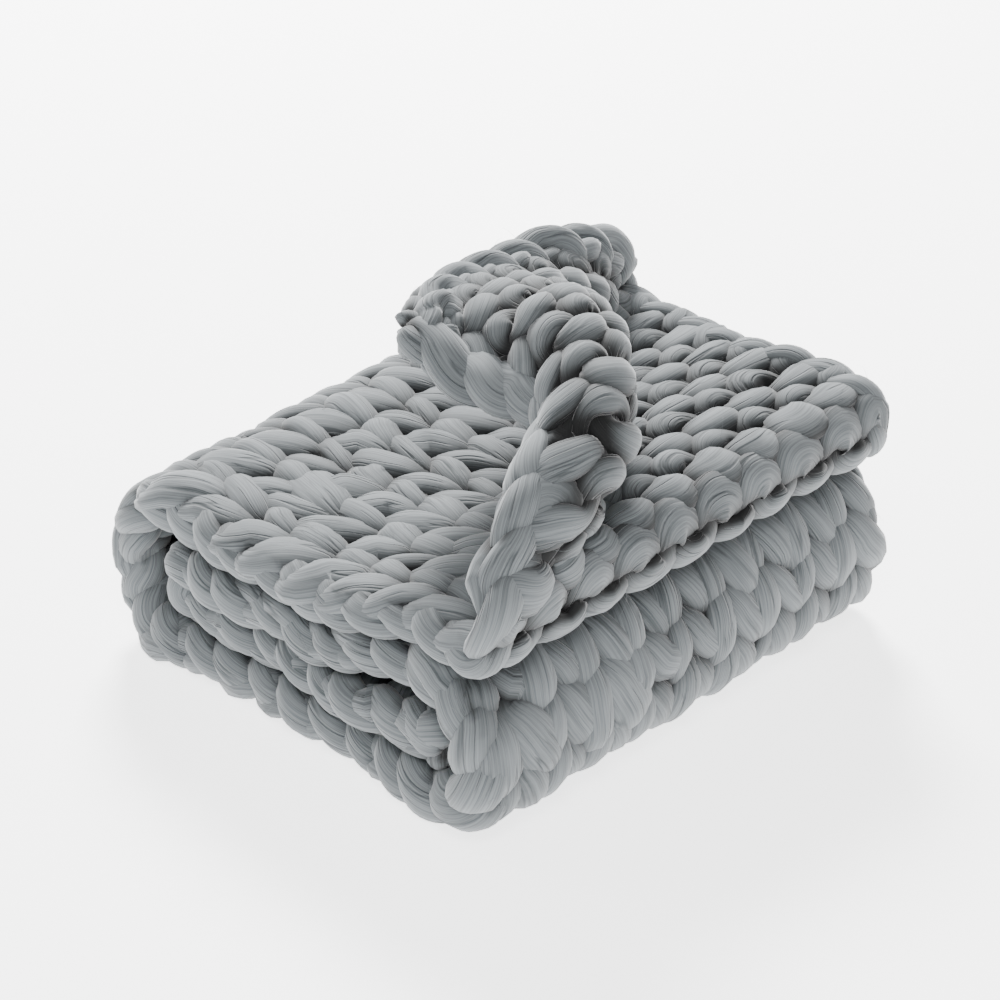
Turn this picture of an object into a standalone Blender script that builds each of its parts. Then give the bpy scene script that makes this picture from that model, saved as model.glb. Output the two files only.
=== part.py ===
"""Chunky knit throw, folded into a bundle with one corner of its top layer turned back.

The cloth is one sheet of thick stockinette. Its fold path runs in the XZ plane and its width along Y.
The smooth knit side faces out on the wraps, and the purl side shows where the top layer doubles back.
"""
import math

import bmesh
import bpy
import numpy as np

# Gauge of the knitting, in metres
WALES = 9
WALE_PITCH = 0.0435
ROW_PITCH = 0.038
CLOTH_WIDTH = WALES * WALE_PITCH

# How far stitches stand above the tucks between them, and how far the edge chains stand out
STITCH_RELIEF = 0.0065
EDGE_ROUND = 0.0050
EDGE_KNOT = 0.0050
EDGE_THINNING = 0.74
STITCH_SLANT = 0.22

# Fold path of the mid-surface from the bind-off edge to the cast-on edge, in metres
# name, x, z, bend radius, half thickness
FOLD_PATH = (
    ("bind-off edge", -0.105, 0.1655, 0.000, 0.0165),
    ("top layer rises", 0.020, 0.1665, 0.120, 0.0170),
    ("top layer at the right", 0.110, 0.1830, 0.080, 0.0160),
    ("right return, upper", 0.187, 0.1852, 0.0173, 0.0142),
    ("right return, lower", 0.187, 0.1506, 0.0173, 0.0142),
    ("second layer at the right", 0.110, 0.1500, 0.080, 0.0142),
    ("second layer levels", 0.030, 0.1290, 0.120, 0.0165),
    ("left wrap, upper", -0.182, 0.1275, 0.046, 0.0172),
    ("left wrap, lower", -0.182, 0.0180, 0.036, 0.0180),
    ("right wrap, lower", 0.190, 0.0180, 0.038, 0.0180),
    ("right wrap, upper", 0.183, 0.1185, 0.046, 0.0165),
    ("third layer at the right", 0.100, 0.1145, 0.080, 0.0160),
    ("third layer levels", 0.030, 0.0915, 0.120, 0.0165),
    ("nose, upper", -0.128, 0.0915, 0.0180, 0.0166),
    ("nose, lower", -0.128, 0.0550, 0.0180, 0.0166),
    ("innermost layer lifts", 0.050, 0.0550, 0.120, 0.0172),
    ("cast-on edge", 0.144, 0.0665, 0.000, 0.0215),
)
BEND_STEP = math.radians(6)

# From the middle of the bundle's underside, which is the part's origin, to the origin of the fold path
PATH_ORIGIN = (-0.0018, -0.0013, 0.0)

# The sheet wanders sideways a little from layer to layer: reach, wavelength along the path, phase
EDGE_WANDER = (
    (0.0040, 0.310, 0.6),
    (0.0025, 0.127, 2.0),
)

# The turned corner of the top layer, measured from the near right corner of the bundle
NEAR_CORNER = (0.190, -0.196)
DIAGONAL = (-0.385, 0.398)
# distance along the diagonal, foot to the right of it, rise angle, foot radius, rise, crest radius,
# angle of the overhang (metres and degrees)
TURN_STATIONS = (
    (0.00, 0.010, 20, 0.018, 0.000, 0.018, 0),
    (0.05, 0.032, 112, 0.020, 0.008, 0.019, -130),
    (0.10, 0.075, 141, 0.024, 0.023, 0.022, -120),
    (0.14, 0.085, 127, 0.028, 0.050, 0.026, -114),
    (0.17, 0.051, 128, 0.036, 0.044, 0.018, -64),
    (0.20, 0.100, 131, 0.034, 0.025, 0.036, -20),
    (0.30, 0.067, 120, 0.022, 0.003, 0.036, -3),
    (0.40, 0.105, 98, 0.030, 0.001, 0.036, 8),
    (0.60, 0.105, 75, 0.026, 0.036, 0.026, -58),
)
# How far the near selvedge of the top layer lies from the plain turn above
# distance from the right fold, along the diagonal, right of it, up
DRAWN_SELVEDGE = (
    (0.000, 0.000, 0.000, 0.000),
    (0.045, -0.008, 0.023, -0.011),
    (0.090, 0.004, 0.030, -0.004),
    (0.135, 0.025, 0.010, 0.012),
    (0.180, 0.024, -0.009, -0.008),
    (0.235, 0.023, -0.010, -0.011),
    (0.295, 0.006, 0.000, 0.006),
)
DRAW_REACH = 0.250
# The top layer is drawn thinner near that selvedge: least share of its thickness, and how far in
CURL_THINNING = 0.78
CURL_REACH = 0.140
# Rounds of evening out along the diagonal, which keep the turn's own section
TURN_FAIRING = 4

# Colour and finish of the roving
ROVING_GREY = (0.40, 0.42, 0.43, 1.0)
ROVING_ROUGHNESS = 0.85

# Distance for the slopes that give the sheet's normal
SLOPE_STEP = 0.0015


def rounded_path(rows):
    """Return x, z, half thickness and distance along the fold path, its corners rounded to arcs."""
    corners = [np.array(row[1:3]) for row in rows]
    points = [corners[0]]
    halves = [rows[0][4]]
    for before, corner, after, row in zip(corners, corners[1:], corners[2:], rows[1:-1]):
        back = (before - corner) / np.linalg.norm(before - corner)
        ahead = (after - corner) / np.linalg.norm(after - corner)
        inside = math.acos(float(np.clip(back @ ahead, -1.0, 1.0)))
        start = corner + back * (row[3] / math.tan(inside / 2))
        end = corner + ahead * (row[3] / math.tan(inside / 2))
        bisector = (back + ahead) / np.linalg.norm(back + ahead)
        centre = corner + bisector * (row[3] / math.sin(inside / 2))
        arm = start - centre
        far = end - centre
        turn = math.copysign(math.pi - inside, arm[0] * far[1] - arm[1] * far[0])
        steps = max(3, int(abs(turn) / BEND_STEP))
        for step in range(steps + 1):
            angle = turn * step / steps
            points.append(centre + np.array([
                arm[0] * math.cos(angle) - arm[1] * math.sin(angle),
                arm[0] * math.sin(angle) + arm[1] * math.cos(angle),
            ]))
            halves.append(row[4])
    points.append(corners[-1])
    halves.append(rows[-1][4])
    points = np.array(points)
    distance = np.append(0.0, np.cumsum(np.linalg.norm(np.diff(points, axis=0), axis=1)))
    return points[:, 0], points[:, 1], np.array(halves), distance


PATH_X, PATH_Z, PATH_HALF, PATH_S = rounded_path(FOLD_PATH)
LENGTH = float(PATH_S[-1])
ROWS = round(LENGTH / ROW_PITCH)
ROW_STEP = LENGTH / ROWS


def distance_at(name):
    """Return the distance along the path of the point nearest a named corner."""
    row = next(row for row in FOLD_PATH if row[0] == name)
    gaps = np.hypot(PATH_X - row[1], PATH_Z - row[2])
    return float(PATH_S[int(np.argmin(gaps))])


TOP_END = float(PATH_S[int(np.argmax(PATH_X >= NEAR_CORNER[0] - 0.020))])
DIAGONAL_LENGTH = math.hypot(*DIAGONAL)
ALONG = np.array([DIAGONAL[0], DIAGONAL[1]]) / DIAGONAL_LENGTH
RIGHT = np.array([ALONG[1], -ALONG[0]])


def top_height(x):
    """Return the height of the flat top layer at x."""
    on_top = PATH_S <= TOP_END
    return float(np.interp(x, PATH_X[on_top], PATH_Z[on_top]))


def turn_station(along):
    """Return the turn's measures at a distance along the diagonal."""
    stations = np.array(TURN_STATIONS, float)
    return [float(np.interp(along, stations[:, 0], column)) for column in stations[:, 1:].T]


def turned_section(reach, station):
    """Return how far left and up the cloth gets, reach metres past the foot of the turn."""
    foot, rise_deg, foot_radius, rise, crest_radius, end_deg = station
    rise_angle = math.radians(rise_deg)
    end_angle = math.radians(end_deg)
    part = min(reach, rise_angle * foot_radius)
    angle = part / foot_radius
    left = foot_radius * math.sin(angle)
    up = foot_radius * (1 - math.cos(angle))
    reach -= part
    part = min(reach, rise)
    left += part * math.cos(rise_angle)
    up += part * math.sin(rise_angle)
    reach -= part
    part = min(reach, (rise_angle - end_angle) * crest_radius)
    angle = rise_angle - part / crest_radius
    left += crest_radius * (math.sin(rise_angle) - math.sin(angle))
    up += crest_radius * (math.cos(angle) - math.cos(rise_angle))
    reach -= part
    return left + reach * math.cos(end_angle), up + reach * math.sin(end_angle)


def from_corner(along, right, up):
    """Return the world point that lies so far along, right of and above the near corner's diagonal."""
    place = np.array(NEAR_CORNER) + along * ALONG + right * RIGHT
    return np.array([place[0], place[1], up])


def plain_turn(x, y, z):
    """Return a flat point of the top layer moved onto the turned corner."""
    offset = np.array([x - NEAR_CORNER[0], y - NEAR_CORNER[1]])
    along = float(offset @ ALONG)
    right = float(offset @ RIGHT)
    if along <= 0:
        return np.array([x, y, z])
    station = turn_station(along)
    reach = station[0] - right
    if reach <= 0:
        return np.array([x, y, z])
    left, up = turned_section(reach, station)
    foot_x = from_corner(along, station[0], 0.0)[0]
    return from_corner(along, station[0] - left, top_height(min(foot_x, NEAR_CORNER[0])) + up)


def smooth(value):
    """Return a soft step from 0 to 1."""
    value = min(max(value, 0.0), 1.0)
    return value * value * (3 - 2 * value)


def drawn_pull(from_fold):
    """Return how far the near selvedge is pulled from its plain turn, so far from the right fold."""
    rows = np.array(DRAWN_SELVEDGE)
    along, right, up = (float(np.interp(from_fold, rows[:, 0], column)) for column in rows[:, 1:].T)
    level = along * ALONG + right * RIGHT
    return np.array([level[0], level[1], up])


def flat_point(s, t):
    """Return the mid-surface point before the top layer's corner is turned."""
    y = t + sum(reach * math.sin(2 * math.pi * s / wave + phase) for reach, wave, phase in EDGE_WANDER)
    return np.array([float(np.interp(s, PATH_S, PATH_X)), y, float(np.interp(s, PATH_S, PATH_Z))])


def turn_shift(s, t):
    """Return how far the turned corner carries one point of the top layer."""
    if s >= TOP_END:
        return np.zeros(3)
    flat = flat_point(s, t)
    place = plain_turn(*flat)
    nearness = 1 - (t + CLOTH_WIDTH / 2) / DRAW_REACH
    if nearness > 0:
        place = place + smooth(nearness) * drawn_pull(NEAR_CORNER[0] - flat[0])
    return place - flat


def evened_shifts():
    """Return the shifts on a net of half rows and half wales, evened out along the diagonal."""
    net = np.array([[turn_shift(i * NET_S, j * NET_T - CLOTH_WIDTH / 2) for j in range(2 * WALES + 1)]
                    for i in range(int(TOP_END / NET_S) + 3)])
    for _ in range(TURN_FAIRING):
        diagonal = (net[:-2, 2:] + net[2:, :-2]) / 2
        net[1:-1, 1:-1] += (diagonal - net[1:-1, 1:-1]) / 2
        net[0, 1:-1] += (net[0, 2:] + net[0, :-2]) / 4 - net[0, 1:-1] / 2
        net[1:-1, 0] += (net[2:, 0] + net[:-2, 0]) / 4 - net[1:-1, 0] / 2
    return net


NET_S = ROW_STEP / 2
NET_T = WALE_PITCH / 2
TOP_SHIFTS = evened_shifts()


def half_thickness(s, t):
    """Return half the thickness of the cloth at s and t."""
    half = float(np.interp(s, PATH_S, PATH_HALF))
    nearness = smooth(1 - (t + CLOTH_WIDTH / 2) / CURL_REACH) * smooth((TOP_END - s) / ROW_STEP)
    return half * (1 - (1 - CURL_THINNING) * nearness)


def curve_weights(part):
    """Return the four weights of a smooth curve through equally spaced values."""
    square, cube = part * part, part * part * part
    return ((-part + 2 * square - cube) / 2, (2 - 5 * square + 3 * cube) / 2,
            (part + 4 * square - 3 * cube) / 2, (cube - square) / 2)


def sheet_point(s, t):
    """Return the mid-surface point at s along the fold path and t across the width."""
    place = flat_point(s, t)
    rows, columns = TOP_SHIFTS.shape[:2]
    u = s / NET_S
    if u > rows - 1:
        return place
    v = min(max((t + CLOTH_WIDTH / 2) / NET_T, 0.0), columns - 1.0)
    i, j = min(int(u), rows - 2), min(int(v), columns - 2)
    for di, share_s in enumerate(curve_weights(u - i), -1):
        for dj, share_t in enumerate(curve_weights(v - j), -1):
            row = min(max(i + di, 0), rows - 1)
            column = min(max(j + dj, 0), columns - 1)
            place = place + share_s * share_t * TOP_SHIFTS[row, column]
    return place


def sheet_frame(s, t):
    """Return the mid-surface point, the direction along the path, across it, and out of the knit side."""
    low = max(s - SLOPE_STEP, 0.0)
    high = min(s + SLOPE_STEP, LENGTH)
    forward = sheet_point(high, t) - sheet_point(low, t)
    across = sheet_point(s, t + SLOPE_STEP) - sheet_point(s, t - SLOPE_STEP)
    forward /= np.linalg.norm(forward)
    across /= np.linalg.norm(across)
    knit = np.cross(across, forward)
    return sheet_point(s, t), forward, across, knit / np.linalg.norm(knit)


# Stretches of the path whose stitches show, on each side of the cloth, as corner names
RAISED_KNIT = (
    ("second layer at the right", "left wrap, lower"),
    ("right wrap, lower", "right wrap, upper"),
)
RAISED_PURL = (("bind-off edge", "right return, lower"),)
FINE_COLUMNS = 4 * WALES
LINES_PER_ROW = 3
PLAIN_COLUMN_STEP = 4


def is_raised(side, s):
    """Tell whether the stitches of a side show at s."""
    stretches = RAISED_KNIT if side == "knit" else RAISED_PURL
    return any(distance_at(first) - ROW_STEP <= s <= distance_at(last) + ROW_STEP
               for first, last in stretches)


def stitch_depth(side, column, line):
    """Return how deep the surface dips under its crest at a column and line of the stitch grid."""
    tucked = line % LINES_PER_ROW == 0
    leaf = column % 2 == 1
    if side == "knit":
        return STITCH_RELIEF * (0.75 if tucked and leaf else 1.0 if not leaf else 0.0)
    return STITCH_RELIEF * (1.0 if tucked else 0.55 if leaf else 0.0)


def side_row(mesh, side, line, s):
    """Add one row of corners on a side of the cloth and return (share of the width, corner) pairs."""
    raised = is_raised(side, s)
    step = 1 if raised else PLAIN_COLUMN_STEP
    row = []
    for column in range(0, FINE_COLUMNS + 1, step):
        slant = 0.0
        if raised and 0 < line < ROWS * LINES_PER_ROW:
            slant = STITCH_SLANT * ROW_STEP * (1 - column % 4) if column % 2 == 0 else 0.0
        at_edge = column in (0, FINE_COLUMNS)
        place_s = min(max(s + (0.0 if at_edge else slant), 0.0), LENGTH)
        t = CLOTH_WIDTH * (column / FINE_COLUMNS - 0.5)
        point, forward, across, knit = sheet_frame(place_s, t)
        half = half_thickness(place_s, t)
        if at_edge:
            half *= EDGE_THINNING
        elif raised:
            half -= stitch_depth(side, column, line)
        place = point + knit * (half if side == "knit" else -half)
        row.append((column / FINE_COLUMNS, mesh.verts.new(place)))
    return row


def rim_corner(mesh, line, s, end):
    """Add the outermost corner of a selvedge chain at one row line, end being -1 near and 1 far."""
    t = end * CLOTH_WIDTH / 2
    point, forward, across, knit = sheet_frame(s, t)
    knot = EDGE_KNOT if line % LINES_PER_ROW else 0.0
    return mesh.verts.new(point + across * end * (EDGE_ROUND + knot))


def end_row(mesh, s, outward, rims):
    """Add the outermost row of a cut end of the path between its two rim corners."""
    row = [(0.0, rims[0])]
    for column in range(2, FINE_COLUMNS, 2):
        t = CLOTH_WIDTH * (column / FINE_COLUMNS - 0.5)
        point, forward, across, knit = sheet_frame(s, t)
        knot = EDGE_KNOT if column % 4 else 0.0
        row.append((column / FINE_COLUMNS, mesh.verts.new(point + forward * outward * (EDGE_ROUND + knot))))
    return row + [(1.0, rims[1])]


def zip_rows(mesh, first, second):
    """Fill the strip between two rows of corners, whatever their numbers."""
    if len(first) == len(second):
        for (_, a), (_, b), (_, c), (_, d) in zip(first, first[1:], second[1:], second):
            mesh.faces.new((a, b, c, d))
        return
    i = j = 0
    while i < len(first) - 1 or j < len(second) - 1:
        first_next = first[i + 1][0] if i < len(first) - 1 else math.inf
        second_next = second[j + 1][0] if j < len(second) - 1 else math.inf
        if first_next <= second_next:
            mesh.faces.new((first[i][1], first[i + 1][1], second[j][1]))
            i += 1
        else:
            mesh.faces.new((first[i][1], second[j + 1][1], second[j][1]))
            j += 1


def row_lines():
    """Return the (line, s) of each row of corners, sparser where no stitch is raised and no fold turns."""
    lines = []
    nose = (distance_at("nose, upper") + distance_at("nose, lower")) / 2
    for line in range(ROWS * LINES_PER_ROW + 1):
        s = line * ROW_STEP / LINES_PER_ROW
        hidden = not is_raised("knit", s) and not is_raised("purl", s)
        turning = abs(s - nose) < ROW_STEP
        if hidden and not turning and line % LINES_PER_ROW == LINES_PER_ROW - 1:
            continue
        lines.append((line, s))
    return lines


def knit_material():
    """Return the plain grey of unspun wool-like roving."""
    material = bpy.data.materials.new("knit roving")
    material.use_nodes = True
    shader = material.node_tree.nodes["Principled BSDF"]
    shader.inputs["Base Color"].default_value = ROVING_GREY
    shader.inputs["Roughness"].default_value = ROVING_ROUGHNESS
    shader.inputs["Metallic"].default_value = 0.0
    return material


def folded_throw():
    """Build the folded cloth as one closed, stitched solid."""
    mesh = bmesh.new()
    rows = []
    for line, s in row_lines():
        rims = (rim_corner(mesh, line, s, -1), rim_corner(mesh, line, s, 1))
        rows.append((side_row(mesh, "knit", line, s), side_row(mesh, "purl", line, s), rims))
    for (knit_a, purl_a, rims_a), (knit_b, purl_b, rims_b) in zip(rows, rows[1:]):
        zip_rows(mesh, knit_a, knit_b)
        zip_rows(mesh, purl_a, purl_b)
        for end in (0, -1):
            mesh.faces.new((knit_a[end][1], knit_b[end][1], rims_b[end], rims_a[end]))
            mesh.faces.new((purl_a[end][1], purl_b[end][1], rims_b[end], rims_a[end]))
    for row, s, outward in ((rows[0], 0.0, -1), (rows[-1], LENGTH, 1)):
        knit_row, purl_row, rims = row
        cut_end = end_row(mesh, s, outward, rims)
        zip_rows(mesh, knit_row, cut_end)
        zip_rows(mesh, purl_row, cut_end)
    bmesh.ops.recalc_face_normals(mesh, faces=mesh.faces)
    data = bpy.data.meshes.new("knit_throw")
    bmesh.ops.translate(mesh, verts=mesh.verts, vec=PATH_ORIGIN)
    mesh.to_mesh(data)
    mesh.free()
    data.materials.append(knit_material())
    data.shade_smooth()
    throw = bpy.data.objects.new("knit_throw", data)
    bpy.context.scene.collection.objects.link(throw)
    return throw


def main():
    for old in list(bpy.data.objects):
        bpy.data.objects.remove(old)
    folded_throw()


main()
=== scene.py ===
"""Chunky knit throw, folded into a bundle with one corner of its top layer turned back.

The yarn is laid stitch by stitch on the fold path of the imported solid, in metres.
"""

import math
from collections import namedtuple

import bpy
import numpy as np
from bpy.props import FloatProperty, FloatVectorProperty, IntProperty, PointerProperty
from bpy.types import Operator, Panel, PropertyGroup
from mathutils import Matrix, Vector


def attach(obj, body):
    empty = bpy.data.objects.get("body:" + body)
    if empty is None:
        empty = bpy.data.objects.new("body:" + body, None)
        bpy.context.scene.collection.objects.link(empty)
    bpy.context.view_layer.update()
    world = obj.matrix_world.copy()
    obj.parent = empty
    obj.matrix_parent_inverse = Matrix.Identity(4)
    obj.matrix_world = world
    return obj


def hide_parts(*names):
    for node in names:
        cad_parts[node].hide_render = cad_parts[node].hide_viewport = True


bl_info = {
    "name": "Folded knit throw",
    "version": (1, 0, 0),
    "blender": (4, 5, 0),
    "location": "View3D > Sidebar > Knit throw",
    "description": "Knits a thick roving throw on its folded solid and sets it on a studio floor",
    "category": "Object",
}

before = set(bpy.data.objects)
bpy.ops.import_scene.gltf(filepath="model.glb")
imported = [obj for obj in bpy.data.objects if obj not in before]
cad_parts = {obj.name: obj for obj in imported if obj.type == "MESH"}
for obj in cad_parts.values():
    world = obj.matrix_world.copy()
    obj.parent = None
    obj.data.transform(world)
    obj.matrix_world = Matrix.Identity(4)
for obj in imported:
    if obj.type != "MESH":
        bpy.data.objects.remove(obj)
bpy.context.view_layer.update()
NODE = "knit_throw"

# Gauge of the knitting and half its full thickness, in metres
WALES = 9
WALE_PITCH = 0.0435
ROW_PITCH = 0.038
CLOTH_WIDTH = WALES * WALE_PITCH
FULL_HALF = 0.0172

# Fold path of the mid-surface from the bind-off edge to the cast-on edge, in metres
# name, x, z, bend radius, half thickness
FOLD_PATH = (
    ("bind-off edge", -0.105, 0.1655, 0.000, 0.0165),
    ("top layer rises", 0.020, 0.1665, 0.120, 0.0170),
    ("top layer at the right", 0.110, 0.1830, 0.080, 0.0160),
    ("right return, upper", 0.187, 0.1852, 0.0173, 0.0142),
    ("right return, lower", 0.187, 0.1506, 0.0173, 0.0142),
    ("second layer at the right", 0.110, 0.1500, 0.080, 0.0142),
    ("second layer levels", 0.030, 0.1290, 0.120, 0.0165),
    ("left wrap, upper", -0.182, 0.1275, 0.046, 0.0172),
    ("left wrap, lower", -0.182, 0.0180, 0.036, 0.0180),
    ("right wrap, lower", 0.190, 0.0180, 0.038, 0.0180),
    ("right wrap, upper", 0.183, 0.1185, 0.046, 0.0165),
    ("third layer at the right", 0.100, 0.1145, 0.080, 0.0160),
    ("third layer levels", 0.030, 0.0915, 0.120, 0.0165),
    ("nose, upper", -0.128, 0.0915, 0.0180, 0.0166),
    ("nose, lower", -0.128, 0.0550, 0.0180, 0.0166),
    ("innermost layer lifts", 0.050, 0.0550, 0.120, 0.0172),
    ("cast-on edge", 0.144, 0.0665, 0.000, 0.0215),
)
BEND_STEP = math.radians(6)

# From the middle of the bundle's underside, which is the part's origin, to the origin of the fold path
PATH_ORIGIN = (-0.0018, -0.0013, 0.0)

# The sheet wanders sideways a little from layer to layer: reach, wavelength along the path, phase
EDGE_WANDER = (
    (0.0040, 0.310, 0.6),
    (0.0025, 0.127, 2.0),
)

# The turned corner of the top layer, measured from the near right corner of the bundle
NEAR_CORNER = (0.190, -0.196)
DIAGONAL = (-0.385, 0.398)
# distance along the diagonal, foot to the right of it, rise angle, foot radius, rise, crest radius,
# angle of the overhang (metres and degrees)
TURN_STATIONS = (
    (0.00, 0.010, 20, 0.018, 0.000, 0.018, 0),
    (0.05, 0.032, 112, 0.020, 0.008, 0.019, -130),
    (0.10, 0.075, 141, 0.024, 0.023, 0.022, -120),
    (0.14, 0.085, 127, 0.028, 0.050, 0.026, -114),
    (0.17, 0.051, 128, 0.036, 0.044, 0.018, -64),
    (0.20, 0.100, 131, 0.034, 0.025, 0.036, -20),
    (0.30, 0.067, 120, 0.022, 0.003, 0.036, -3),
    (0.40, 0.105, 98, 0.030, 0.001, 0.036, 8),
    (0.60, 0.105, 75, 0.026, 0.036, 0.026, -58),
)
# How far the near selvedge of the top layer lies from the plain turn above
# distance from the right fold, along the diagonal, right of it, up
DRAWN_SELVEDGE = (
    (0.000, 0.000, 0.000, 0.000),
    (0.045, -0.008, 0.023, -0.011),
    (0.090, 0.004, 0.030, -0.004),
    (0.135, 0.025, 0.010, 0.012),
    (0.180, 0.024, -0.009, -0.008),
    (0.235, 0.023, -0.010, -0.011),
    (0.295, 0.006, 0.000, 0.006),
)
DRAW_REACH = 0.250
# The top layer is drawn thinner near that selvedge: least share of its thickness, and how far in
CURL_THINNING = 0.78
CURL_REACH = 0.140
# Rounds of evening out along the diagonal, which keep the turn's own section
TURN_FAIRING = 4
# The turn acts on the top layer up to this far from the bundle's right side
TOP_MARGIN = 0.020

# Distance for the slopes that give the sheet's normal
SLOPE_STEP = 0.0015


def rounded_path(rows):
    """Return x, z, half thickness and distance along the fold path, its corners rounded to arcs."""
    corners = [np.array(row[1:3]) for row in rows]
    points = [corners[0]]
    halves = [rows[0][4]]
    for before, corner, after, row in zip(corners, corners[1:], corners[2:], rows[1:-1]):
        back = (before - corner) / np.linalg.norm(before - corner)
        ahead = (after - corner) / np.linalg.norm(after - corner)
        inside = math.acos(float(np.clip(back @ ahead, -1.0, 1.0)))
        start = corner + back * (row[3] / math.tan(inside / 2))
        end = corner + ahead * (row[3] / math.tan(inside / 2))
        bisector = (back + ahead) / np.linalg.norm(back + ahead)
        centre = corner + bisector * (row[3] / math.sin(inside / 2))
        arm = start - centre
        far = end - centre
        turn = math.copysign(math.pi - inside, arm[0] * far[1] - arm[1] * far[0])
        steps = max(3, int(abs(turn) / BEND_STEP))
        for step in range(steps + 1):
            angle = turn * step / steps
            points.append(centre + np.array([
                arm[0] * math.cos(angle) - arm[1] * math.sin(angle),
                arm[0] * math.sin(angle) + arm[1] * math.cos(angle),
            ]))
            halves.append(row[4])
    points.append(corners[-1])
    halves.append(rows[-1][4])
    points = np.array(points)
    distance = np.append(0.0, np.cumsum(np.linalg.norm(np.diff(points, axis=0), axis=1)))
    return points[:, 0], points[:, 1], np.array(halves), distance


PATH_X, PATH_Z, PATH_HALF, PATH_S = rounded_path(FOLD_PATH)
LENGTH = float(PATH_S[-1])
ROWS = round(LENGTH / ROW_PITCH)
ROW_STEP = LENGTH / ROWS
TOP_END = float(PATH_S[int(np.argmax(PATH_X >= NEAR_CORNER[0] - TOP_MARGIN))])
ALONG = np.array(DIAGONAL) / math.hypot(*DIAGONAL)
RIGHT = np.array([ALONG[1], -ALONG[0]])
# Net of half rows and half wales on which the turned corner is kept
NET_S = ROW_STEP / 2
NET_T = WALE_PITCH / 2


def top_height(x):
    """Return the height of the flat top layer at x."""
    on_top = PATH_S <= TOP_END
    return float(np.interp(x, PATH_X[on_top], PATH_Z[on_top]))


def turn_station(along):
    """Return the turn's measures at a distance along the diagonal."""
    stations = np.array(TURN_STATIONS, float)
    return [float(np.interp(along, stations[:, 0], column)) for column in stations[:, 1:].T]


def turned_section(reach, station):
    """Return how far left and up the cloth gets, reach metres past the foot of the turn."""
    rise_deg, foot_radius, rise, crest_radius, end_deg = station[1:]
    rise_angle = math.radians(rise_deg)
    end_angle = math.radians(end_deg)
    part = min(reach, rise_angle * foot_radius)
    angle = part / foot_radius
    left = foot_radius * math.sin(angle)
    up = foot_radius * (1 - math.cos(angle))
    reach -= part
    part = min(reach, rise)
    left += part * math.cos(rise_angle)
    up += part * math.sin(rise_angle)
    reach -= part
    part = min(reach, (rise_angle - end_angle) * crest_radius)
    angle = rise_angle - part / crest_radius
    left += crest_radius * (math.sin(rise_angle) - math.sin(angle))
    up += crest_radius * (math.cos(angle) - math.cos(rise_angle))
    reach -= part
    return left + reach * math.cos(end_angle), up + reach * math.sin(end_angle)


def from_corner(along, right, up):
    """Return the world point that lies so far along, right of and above the near corner's diagonal."""
    place = np.array(NEAR_CORNER) + along * ALONG + right * RIGHT
    return np.array([place[0], place[1], up])


def plain_turn(x, y, z):
    """Return a flat point of the top layer moved onto the turned corner."""
    offset = np.array([x - NEAR_CORNER[0], y - NEAR_CORNER[1]])
    along = float(offset @ ALONG)
    right = float(offset @ RIGHT)
    if along <= 0:
        return np.array([x, y, z])
    station = turn_station(along)
    reach = station[0] - right
    if reach <= 0:
        return np.array([x, y, z])
    left, up = turned_section(reach, station)
    foot_x = from_corner(along, station[0], 0.0)[0]
    return from_corner(along, station[0] - left, top_height(min(foot_x, NEAR_CORNER[0])) + up)


def smooth(value):
    """Return a soft step from 0 to 1, of a number or of an array."""
    value = np.clip(value, 0.0, 1.0)
    return value * value * (3 - 2 * value)


def drawn_pull(from_fold):
    """Return how far the near selvedge is pulled from its plain turn, so far from the right fold."""
    rows = np.array(DRAWN_SELVEDGE)
    along, right, up = (float(np.interp(from_fold, rows[:, 0], column)) for column in rows[:, 1:].T)
    level = along * ALONG + right * RIGHT
    return np.array([level[0], level[1], up])


def flat_points(s, t):
    """Return the mid-surface points before the top layer's corner is turned."""
    y = t + sum(reach * np.sin(2 * math.pi * s / wave + phase) for reach, wave, phase in EDGE_WANDER)
    return np.stack([np.interp(s, PATH_S, PATH_X), y, np.interp(s, PATH_S, PATH_Z)], -1)


def turn_shift(s, t):
    """Return how far the turned corner carries one point of the top layer."""
    if s >= TOP_END:
        return np.zeros(3)
    flat = flat_points(s, t)
    place = plain_turn(*flat)
    nearness = 1 - (t + CLOTH_WIDTH / 2) / DRAW_REACH
    if nearness > 0:
        place = place + smooth(nearness) * drawn_pull(NEAR_CORNER[0] - flat[0])
    return place - flat


def evened_shifts():
    """Return the shifts on a net of half rows and half wales, evened out along the diagonal."""
    net = np.array([[turn_shift(i * NET_S, j * NET_T - CLOTH_WIDTH / 2) for j in range(2 * WALES + 1)]
                    for i in range(int(TOP_END / NET_S) + 3)])
    for _ in range(TURN_FAIRING):
        diagonal = (net[:-2, 2:] + net[2:, :-2]) / 2
        net[1:-1, 1:-1] += (diagonal - net[1:-1, 1:-1]) / 2
        net[0, 1:-1] += (net[0, 2:] + net[0, :-2]) / 4 - net[0, 1:-1] / 2
        net[1:-1, 0] += (net[2:, 0] + net[:-2, 0]) / 4 - net[1:-1, 0] / 2
    return net


TOP_SHIFTS = evened_shifts()


def curve_weights(part):
    """Return the four weights of a smooth curve through equally spaced values."""
    square, cube = part * part, part * part * part
    return ((-part + 2 * square - cube) / 2, (2 - 5 * square + 3 * cube) / 2,
            (part + 4 * square - 3 * cube) / 2, (cube - square) / 2)


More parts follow.
